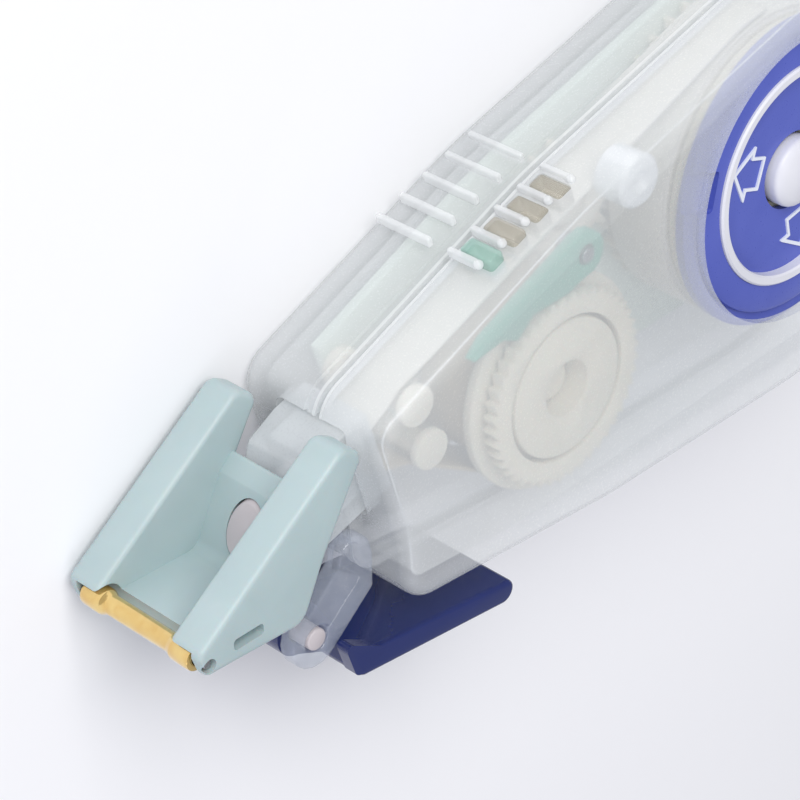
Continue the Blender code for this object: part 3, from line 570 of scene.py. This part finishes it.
# --- Case ---------------------------------------------------------------------------------
@dataclass
class Case:
    """The frosted case: two halves with a lipped joint, grip ribs and clear windows."""

    wall: float = 1.2
    edge: float = 1.1
    grip_fall: float = 2.2
    rib_pitch: float = 2.0
    rib_width: float = 0.4
    rib_count: int = 5
    first_rib: float = -24.7
    rib_height: float = 0.3
    dish: float = 0.9
    dish_depth: float = 0.5
    neck: float = 3.3
    neck_depth: float = 2.85
    groove_depth: float = 0.14
    lip: float = 0.18
    pip: float = 0.3
    boss_place: tuple[float, float] = (-12.6, 9.4)
    boss_radius: float = 1.7
    nose_to_hinge: float = 6.4

    def __post_init__(self) -> None:
        """Reads the case's box and levels from the frame."""
        low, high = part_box("front_case")
        back_low, back_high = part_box("back_case")
        self.top, self.joint_top, self.joint_low = (1000 * z for z in (high.z, low.z, back_high.z))
        self.floor = 1000 * back_low.z
        self.grip = 1000 * high.y - self.rib_height
        self.belly, self.tail = 1000 * low.y, 1000 * high.x
        self.nose = 1000 * joint_place("lever_swing").x + self.nose_to_hinge
        self.axis_y = 1000 * joint_place("head_swivel").y
        self.middle = 1000 * joint_place("supply_turn").z

    def corners(self, inset: float = 0.0) -> list[tuple[float, float, float]]:
        """Corners of the case's outline, moved inwards by a margin in millimetres."""
        spots = ((self.nose, self.grip - self.grip_fall, 2.4), (self.nose - 0.2, self.axis_y - 4.6, 3.0),
                 (self.nose - 1.2, self.axis_y - 8.7, 2.0),
                 (1000 * TAKE_UP.x, 1000 * TAKE_UP.y - 9.1, 25.0), (-3.5, self.belly, 12.0),
                 (self.tail, self.belly, 12.4), (self.tail, self.grip, 12.4), (-17.5, self.grip, 25.0))
        if not inset:
            return list(spots)
        moved = []
        for i, (x, y, radius) in enumerate(spots):
            before, after = Vector(spots[i - 1][:2]), Vector(spots[(i + 1) % len(spots)][:2])
            a, b = (Vector((x, y)) - before).normalized(), (after - Vector((x, y))).normalized()
            side = Vector((-a.y - b.y, a.x + b.x)).normalized()
            step = side * inset / max(0.5, side.dot(Vector((-a.y, a.x))))
            moved.append((x + step.x, y + step.y, max(radius - inset, 0.3)))
        return moved

    def neck_opening(self) -> Work:
        """A cutter for the opening that the neck comes out of."""
        low = mm(self.nose - 4, self.axis_y - self.neck, self.middle - self.neck_depth)
        high = mm(self.nose + 4, self.axis_y + self.neck, self.middle + self.neck_depth)
        return Work.block("neck_opening", low, high, 0.4)

    def windows(self) -> list[tuple[float, float]]:
        """The X span of each clear window between two grip ribs, in millimetres."""
        spans = []
        for i in range(self.rib_count - 1):
            start = self.first_rib + i * self.rib_pitch + self.rib_width
            spans.append((start + 0.2, start + self.rib_pitch - self.rib_width - 0.2))
        return spans

    def window_cutter(self, name: str, span: tuple[float, float], grow: float) -> Work:
        """A rounded block through the grip wall, for a window's opening or its pane."""
        low = mm(span[0] - grow, self.grip - self.wall - 0.5, self.joint_top + 0.5 - grow)
        high = mm(span[1] + grow, self.grip + 0.5, self.top - self.edge - 1.0 + grow)
        return Work.block(name, low, high, 0.25)

    def back(self) -> bpy.types.Object:
        """The flat back half, a tray with a groove below its lip."""
        groove = self.middle - 0.45
        work = Work.outline("back_case_shell", self.corners(), self.floor, groove - 0.12)
        work.extrude(mm(0, 0, 0.12)).extrude(mm(0, 0, 0.12))
        work.extrude(mm(0, 0, self.joint_low - groove - 0.12))
        work.pick(lambda at, _: abs(at.z - mm(groove)) < mm(0.01), Pick.VERT).fatten(-self.groove_depth)
        work.pick(lambda at, along: at.z < mm(self.floor + 0.01) and abs(along.z) < 0.1, Pick.EDGE)
        work.bevel(self.edge, 6)
        work.pick(lambda at, n: at.z > mm(self.joint_low - 0.01)).delete()
        work.outward()
        work.modify("SOLIDIFY", thickness=mm(self.wall), offset=-1, use_even_offset=True)
        work.with_solids(Joining.CUT, self.neck_opening())
        return work.finish(FROSTED, "case", "frosted_case", "back_case")

    def front(self) -> bpy.types.Object:
        """The dial-side half, a lid with a dished opening and window openings."""
        work = Work.outline("front_case_shell", self.corners(), self.joint_top, self.top)
        work.pick(lambda at, along: at.z > mm(self.top - 0.01) and abs(along.z) < 0.1, Pick.EDGE)
        work.bevel(self.edge, 6)
        work.pick(lambda at, n: at.z < mm(self.joint_top + 0.01)).delete()
        work.outward()
        work.modify("SOLIDIFY", thickness=mm(self.wall), offset=-1, use_even_offset=True)
        hole = 500 * (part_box("tension_dial")[1].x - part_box("tension_dial")[0].x) - 0.6
        level = self.top - self.dish_depth
        way = Work.lathe("dial_way", [(hole, self.top - 4), (hole, level),
                                      (hole + self.dish, self.top + 0.02),
                                      (hole + self.dish, self.top + 2)], SUPPLY, 128)
        cutters = [self.window_cutter(f"window_way_{i}", span, 0) for i, span in enumerate(self.windows())]
        work.with_solids(Joining.CUT, way, self.neck_opening(), *cutters)
        return work.finish(FROSTED, "case", "frosted_case", "front_case")

    def panes(self) -> None:
        """The clear windows, each a thin pane with soft edges, set in its opening."""
        for i, span in enumerate(self.windows()):
            low = mm(span[0] + 0.03, self.grip - self.wall - 0.05, self.joint_top + 0.53)
            high = mm(span[1] - 0.03, self.grip + 0.02, self.top - self.edge - 1.03)
            tint = WINDOW if i else TEAL_WINDOW
            Work.block(f"grip_window_{i}", low, high, 0.2).finish(tint, "case", "frosted_case")

    def ribs(self) -> None:
        """The grip ribs, modelled once and copied along the grip edge on both halves."""
        spans = {"back": (self.middle - 4.95, self.middle - 0.65),
                 "front": (self.joint_top + 0.2, self.joint_top + 2.4)}
        for half, (low_z, high_z) in spans.items():
            low = mm(self.first_rib, self.grip - 0.4, low_z)
            high = mm(self.first_rib + self.rib_width, self.grip + self.rib_height, high_z)
            first = Work.block(f"grip_rib_{half}_0", low, high, 0.13)
            for i in range(1, self.rib_count):
                twin = first.copy(f"grip_rib_{half}_{i}", mm(i * self.rib_pitch, 0, 0))
                twin.finish(POLISHED, "case", "frosted_case")
            first.finish(POLISHED, "case", "frosted_case")

    def rib_ends(self) -> None:
        """The small round pips that end each rib of the front half."""
        for i in range(self.rib_count):
            middle = self.first_rib + i * self.rib_pitch + self.rib_width / 2
            pip = Work(f"rib_end_{i}", bpy.ops.mesh.primitive_uv_sphere_add, segments=20, ring_count=12,
                       radius=mm(self.pip), location=mm(middle, self.grip, self.joint_top + 2.5))
            pip.finish(POLISHED, "case", "frosted_case")

    def boss(self) -> None:
        """The dimpled boss under the roof, between the two reels."""
        low, top = self.top - 3.4, self.top - self.wall - 0.05
        rim, dimple = self.boss_radius, 0.8
        rows = [(rim, low), (rim, top - 0.2), (rim - 0.2, top), (dimple, top), (dimple - 0.3, top - 0.4),
                (0.1, top - 0.5)]
        Work.lathe("roof_boss", rows, mm(*self.boss_place, 0), 40).finish(BOSS_WHITE, "case", "frosted_case")

    def lips(self) -> None:
        """The polished bead along each half's side of the joint, which reads as a double line."""
        for name, low in (("back_lip", self.joint_low - 0.04 - self.lip),
                          ("front_lip", self.joint_top + 0.06)):
            high = low + self.lip
            work = Work.outline(name, self.corners(-0.04), low, high)
            inside = Work.outline("lip_inside", self.corners(0.5), low - 1, high + 1)
            work.with_solids(Joining.CUT, inside, self.neck_opening())
            work.finish(POLISHED, "case", "frosted_case")

    def build(self) -> None:
        """Models the whole case."""
        self.lips()
        self.back()
        self.front()
        self.panes()
        self.ribs()
        self.rib_ends()
        self.boss()


# --- Neck, head and roller ----------------------------------------------------------------
@dataclass
class Head:
    """The rocking head: side plates, cross wall, floor ramp, roller, axle and pin."""

    length: float = 13.8
    plate: float = 2.5
    soft: float = 0.35

    def __post_init__(self) -> None:
        """Reads the head's places from the frame."""
        tip = joint_place("roller_turn") * 1000
        self.x, self.y, self.z = tip
        self.half = 500 * (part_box("head_frame")[1].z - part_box("head_frame")[0].z)
        self.inner = self.half - self.plate
        self.rear = self.x + self.length

    def side(self, name: str, low: float, high: float) -> Work:
        """One side plate with a rounded rim."""
        corners = [(self.x - 0.5, self.y + 1.1, 0.6), (self.x - 0.45, self.y - 0.6, 0.5),
                   (self.x + 6.4, self.y - 3.0, 1.2), (self.rear - 4.6, self.y, 5.0),
                   (self.rear, self.y + 4.1, 0.7), (self.rear - 1.3, self.y + 5.5, 0.8)]
        work = Work.outline(name, corners, low, high)
        work.pick(lambda at, along: abs(along.z) < 0.1, Pick.EDGE).bevel(self.soft, 4)
        return work

    def bridge(self) -> Work:
        """The cross wall and the floor ramp between the plates, as one bar."""
        wall = ((-6.2, -2.45, 0.3), (-2.9, 1.6, 0.3), (-2.75, 2.35, 0.25), (-4.2, 1.65, 0.5),
                (-7.4, -1.7, 0.9))
        ramp = ((0.5, 0.2, 0), (0.9, -0.75, 0), (6.3, -2.75, 0.4))
        corners = [(self.rear + x, self.y + y, r) for x, y, r in wall]
        corners += [(self.x + x, self.y + y, r) for x, y, r in ramp]
        reach = self.inner + 0.5
        return Work.outline("head_bridge", corners, self.z - reach, self.z + reach)

    def frame_piece(self) -> bpy.types.Object:
        """The head's one-piece moulding with its bores and slot."""
        work = self.side("head_moulding", self.z + self.inner, self.z + self.half)
        far = self.side("far_plate", self.z - self.half, self.z - self.inner)
        work.with_solids(Joining.JOIN, self.bridge(), far)
        tip = joint_place("roller_turn")
        room = 1000 * (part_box("tip_roller")[1].z - tip.z) + 0.3
        pocket = Work.lathe("roller_pocket", [(1.1, self.z - room), (1.1, self.z + room)], tip, 48)
        axle = Work.lathe("axle_bore", [(0.45, -1), (0.45, 15)], tip, 32)
        corners = ((1.9, 0.2), (1.7, -0.5), (3.8, -1.1), (4.0, -0.4))
        window = [(self.x + x, self.y + y, 0.25) for x, y in corners]
        slot = Work.outline("plate_slot", window, self.z + self.half - 1.0, self.z + self.half + 1)
        pin = Work.lathe("swivel_bore", [(1.32, -2.6), (1.32, 4)], Vector((0, 0, 0)), 48)
        pin.turned(90, "Y", Vector((0, 0, 0)))
        pin.obj.data.transform(Matrix.Translation(mm(self.rear - 5.2, self.y, self.z)))
        work.with_solids(Joining.CUT, slot, pin, pocket, axle)
        return work.finish(HEAD_ACETAL, "head", "head_grey", "head_frame", smooth=40)

    def roller(self) -> bpy.types.Object:
        """The amber roller: a slim core between two flanged ends."""
        half = 500 * (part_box("tip_roller")[1].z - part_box("tip_roller")[0].z)
        core, rim, slim, bore = 2.6, 0.8, 0.6, 0.42
        rows = [(bore, -half), (rim - 0.15, -half), (rim - 0.04, -half + 0.05), (rim, -half + 0.18),
                (rim, -core - 0.4), (rim - 0.05, -core - 0.28), (slim + 0.03, -core), (slim, -core + 0.1)]
        rows += [(r, -z) for r, z in rows[::-1]]
        rows = [(r, z + self.z) for r, z in rows]
        work = Work.lathe("roller_piece", rows, joint_place("roller_turn"), 56, tube=True)
        return work.finish(AMBER, "roller", "amber_roller", "tip_roller")

    def build(self) -> None:
        """Models the head."""
        self.frame_piece()
        self.roller()
        Work.polished("roller_axle", 0.05).finish(WIRE, "head", "steel", "roller_axle")
        Work.polished("head_pin", 0.08).finish(PIN_GREY, "case", "pin_grey", "head_pin")
        Work.polished("neck_cowl", 0.25, 4).finish(MILKY, "case", "white_neck", "neck_cowl")


# --- Latch lever --------------------------------------------------------------------------
@dataclass
class Latch:
    """The navy lever under the belly, on a pin between the ears of a clear bracket."""

    tilt: float = -24.0
    length: float = 15.4
    thick: float = 1.8
    drop: float = 1.3
    cheek: float = 0.9
    knuckle: float = 1.9
    pin: float = 0.85
    barrel: float = 3.4

    def __post_init__(self) -> None:
        """Reads the hinge's place and the lever's width from the frame."""
        self.hinge = joint_place("lever_swing")
        self.width = 1000 * (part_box("latch_lever")[1].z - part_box("latch_lever")[0].z)

    def lever(self) -> bpy.types.Object:
        """The thumb plate with its barrel, soft on every edge."""
        x, y, z = self.hinge * 1000
        start, top = x + self.knuckle + 0.5, y - self.drop
        low, half, mid = top - self.thick, self.width / 2, self.barrel / 2
        end = x + self.length
        thumb = [(start, top, 0.3), (start, low, 0.6), (end, low + 0.3, 0.9), (end, top, 0.6)]
        plate = Work.outline("latch_lever_piece", thumb, z - half, z + half)
        plate.pick(lambda at, along: abs(along.z) < 0.1, Pick.EDGE).bevel(0.3, 4)
        radius = self.knuckle - 0.2
        barrel = Work.lathe("lever_barrel", [(radius, z - mid), (radius, z + mid)], self.hinge, 48)
        web = [(x - 0.6, y - 1.5, 0), (start + 1, low + 0.3, 0), (start + 1, top - 0.2, 0),
               (x + 1.2, y + 1.1, 0)]
        arm = Work.outline("lever_arm", web, z - mid + 0.01, z + mid - 0.01)
        side = [(x + 1.0, y - 0.2, 0.4), (x + 2.2, low + 0.3, 0.5), (start + 2, low + 0.3, 0),
                (start + 2, top - 0.3, 0)]
        cheeks = [Work.outline(name, side, inner, inner + self.cheek - 0.01)
                  for name, inner in (("near_cheek", z + half - self.cheek), ("far_cheek", z - half + 0.01))]
        reach = mid + 0.3
        bore = Work.lathe("barrel_bore", [(self.pin, z - reach), (self.pin, z + reach)], self.hinge, 32)
        plate.with_solids(Joining.JOIN, barrel, arm, *cheeks).with_solids(Joining.CUT, bore)
        plate.turned(self.tilt, "Z", self.hinge)
        return plate.finish(NAVY, "lever", "navy_lever", "latch_lever", smooth=40)

    def build(self) -> None:
        """Models the latch."""
        self.lever()
        bracket = Work.polished("lever_bracket", 0.3, 4)
        bracket.finish(CLEAR, "case", "clear_bracket", "lever_bracket", smooth=50)
        Work.polished("lever_pin", 0.1).finish(PIN_GREY, "case", "pin_grey", "lever_pin")


# --- Dial ---------------------------------------------------------------------------------
@dataclass
class Dial:
    """The blue tension dial: lipped disc, pale ring, rim notches, turn marks and cap."""

    radius: float = 9.4
    ring: float = 7.4
    notch_count: int = 3
    mark_count: int = 3

    def __post_init__(self) -> None:
        """Reads the dial's levels from the frame."""
        low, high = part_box("tension_dial")
        self.low, self.face = 1000 * low.z, 1000 * high.z - 0.25
        self.lip = 500 * (high.x - low.x)

    def disc(self) -> bpy.types.Object:
        """The dial itself, turned in fine steps, with its rim notches cut."""
        face, ring = self.face, self.ring
        rows = [(2.6, self.low), (self.lip, self.low), (self.lip, self.low + 0.6),
                (self.radius, self.low + 0.6),
                (self.radius, face - 0.4), (self.radius - 0.12, face - 0.12), (self.radius - 0.4, face),
                (ring + 0.06, face), (ring + 0.06, face - 0.5), (2.6, face - 0.5)]
        work = Work.lathe("tension_dial_piece", rows, SUPPLY, 128, tube=True)
        cutters = []
        for i in range(self.notch_count):
            low, high = mm(self.radius - 1.3, -1.35, face - 0.8), mm(self.radius + 1, 1.35, face + 1)
            notch = Work.block(f"notch_{i}", low, high, 0.25)
            cutters.append(notch.turned(150 + 360 / self.notch_count * i, "Z", Vector((0, 0, 0))))
        work.with_solids(Joining.CUT, *cutters)
        return work.finish(BLUE, "supply", "blue_dial", "tension_dial")

    def ring_piece(self) -> None:
        """The pale ring pressed into the dial round its sunk face."""
        low, top, ring = self.face - 0.5, self.face + 0.25, self.ring
        rows = [(ring - 0.62, low), (ring + 0.04, low), (ring + 0.04, top - 0.12), (ring - 0.08, top),
                (ring - 0.5, top), (ring - 0.62, top - 0.12)]
        Work.lathe("dial_ring", rows, SUPPLY, 128, tube=True).finish(PALE, "supply", "blue_dial")

    def marks(self) -> None:
        """Plain raised arrows on the sunk face that show which way the dial turns."""
        level = self.face - 0.52
        shape = [(3.2, -1.1), (4.4, -1.1), (4.4, -1.9), (6.1, 0.0), (4.4, 1.9), (4.4, 1.1), (3.2, 1.1)]
        inner = [(3.4, -0.9), (4.6, -0.9), (4.6, -1.35), (5.8, 0.0), (4.6, 1.35), (4.6, 0.9), (3.4, 0.9)]
        for i in range(self.mark_count):
            work = Work.outline(f"turn_mark_{i}", [(*spot, 0.08) for spot in shape], level, level + 0.14)
            middle = Work.outline("mark_middle", [(*spot, 0.05) for spot in inner], level - 1, level + 1)
            work.with_solids(Joining.CUT, middle)
            work.turned(360 / self.mark_count * i + 25, "Z", Vector((0, 0, 0)))
            work.finish(MARK_INK, "supply", "blue_dial")

    def build(self) -> None:
        """Models the dial."""
        self.disc()
        self.ring_piece()
        self.marks()
        Work.polished("dial_cap", 0.2, 3).finish(PALE, "supply", "white_gear", "dial_cap")


# --- Works inside the case ----------------------------------------------------------------
class InnerWorks:
    """The refill cartridge and the gears, whose CAD shapes are kept and given broken edges."""

    PIECES = (("cartridge_plate", 0.1, MINT, "mint_plate"), ("supply_post", 0.1, ACETAL, "white_gear"),
              ("idler_post", 0.1, ACETAL, "white_gear"), ("take_up_post", 0.1, ACETAL, "white_gear"),
              ("feed_guide", 0.1, ACETAL, "white_gear"), ("return_guide", 0.1, ACETAL, "white_gear"),
              ("feed_tape", 0.03, FILM_RUN, "tape_white"), ("return_liner", 0.03, LINER_RUN, "liner_taupe"),
              ("pawl_pin", 0.06, WIRE, "steel"), ("supply_spool", 0.12, ACETAL, "white_gear"),
              ("tape_pack", 0.08, FILM, "tape_white"), ("supply_gear", 0.07, ACETAL, "white_gear"),
              ("clutch_ring", 0.08, RUBBER, "rubber"), ("idler_gear", 0.07, ACETAL, "white_gear"),
              ("take_up_gear", 0.07, ACETAL, "white_gear"), ("take_up_spool", 0.12, ACETAL, "white_gear"),
              ("liner_pack", 0.08, LINER, "liner_taupe"), ("ratchet_wheel", 0.06, ACETAL, "white_gear"),
              ("anti_reverse_pawl", 0.1, TEAL, "teal_pawl"))

    def build(self) -> None:
        """Models each piece and fixes it to its own body."""
        bodies = {n: b for b, members in frame["record"]["behaviour"]["bodies"].items() for n in members}
        for node, edge, finish, slot in self.PIECES:
            Work.polished(node, edge).finish(finish, bodies[node], slot, node)


# --- Studio -------------------------------------------------------------------------------
@dataclass
class Studio:
    """The floor, the soft lights and the camera."""

    camera_place: tuple[float, float, float] = (-0.100657, 0.126496, 0.112344)
    camera_right: tuple[float, float, float] = (0.6695, -0.2303, 0.7062)
    camera_up: tuple[float, float, float] = (0.6266, 0.6857, -0.3704)
    lens: float = 137.69
    world_strength: float = 0.46

    def camera(self) -> None:
        """Sets the camera up at the product view."""
        right = Vector(self.camera_right).normalized()
        back = right.cross(Vector(self.camera_up)).normalized()
        up = back.cross(right)
        data = bpy.data.cameras.new("product_camera")
        data.lens, data.sensor_width = self.lens, 36.0
        data.clip_start = mm(5)
        camera = bpy.data.objects.new("product_camera", data)
        turn = Matrix((right, up, back)).transposed().to_4x4()
        camera.matrix_world = Matrix.Translation(self.camera_place) @ turn
        bpy.context.scene.collection.objects.link(camera)
        bpy.context.scene.camera = camera

    def light(self, name: str, place: Vector, aim: Vector, size: float, power: float, tint: str) -> None:
        """Adds a large soft light.

        Args:
            name: The light's name.
            place: Where it hangs.
            aim: What it points at.
            size: The side of its square face in metres.
            power: Its power in watts.
            tint: Its colour.
        """
        data = bpy.data.lights.new(name, "AREA")
        data.size, data.energy, data.color = size, power, linear(tint)[:3]
        lamp = bpy.data.objects.new(name, data)
        lamp.location = place
        lamp.rotation_euler = (aim - place).to_track_quat("-Z", "Y").to_euler()
        bpy.context.scene.collection.objects.link(lamp)

    def floor(self) -> None:
        """A wide pale sheet that the dispenser lies on."""
        work = Work("studio_floor", bpy.ops.mesh.primitive_plane_add, size=1.6, location=(0, 0, mm(-0.02)))
        paper = Moulded("floor_paper", "#F6F6F8", "#F2F2F6", roughness=0.9, grain_mm=1.5, streak_mm=180)
        work.obj.data.materials.append(paper.build())

    def build(self) -> None:
        """Sets up the studio."""
        scene = bpy.context.scene
        scene.view_settings.view_transform = "Standard"
        world = bpy.data.worlds.new("studio_world")
        world.use_nodes = True
        sky = world.node_tree.nodes["Background"]
        sky.inputs["Color"].default_value = linear("#F4F6FB")
        sky.inputs["Strength"].default_value = self.world_strength
        scene.world = world
        middle = Vector((-0.03, 0, 0.006))
        self.light("key_panel", middle + Vector((-0.04, 0.34, 0.29)), middle, 0.30, 1.7, "#FFFEFC")
        self.light("fill_panel", middle + Vector((-0.30, -0.15, 0.30)), middle, 0.35, 0.5, "#F2F3FF")
        self.floor()
        self.camera()


def main() -> None:
    """Builds the dispenser's looks piece by piece, then the studio."""
    logging.basicConfig(level=logging.INFO, format="%(name)s: %(message)s")
    for assembly in (Case(), Head(), Latch(), Dial(), InnerWorks(), Studio()):
        assembly.build()
        LOG.info("%s is built", type(assembly).__name__)


if __name__ == "__main__":
    main()
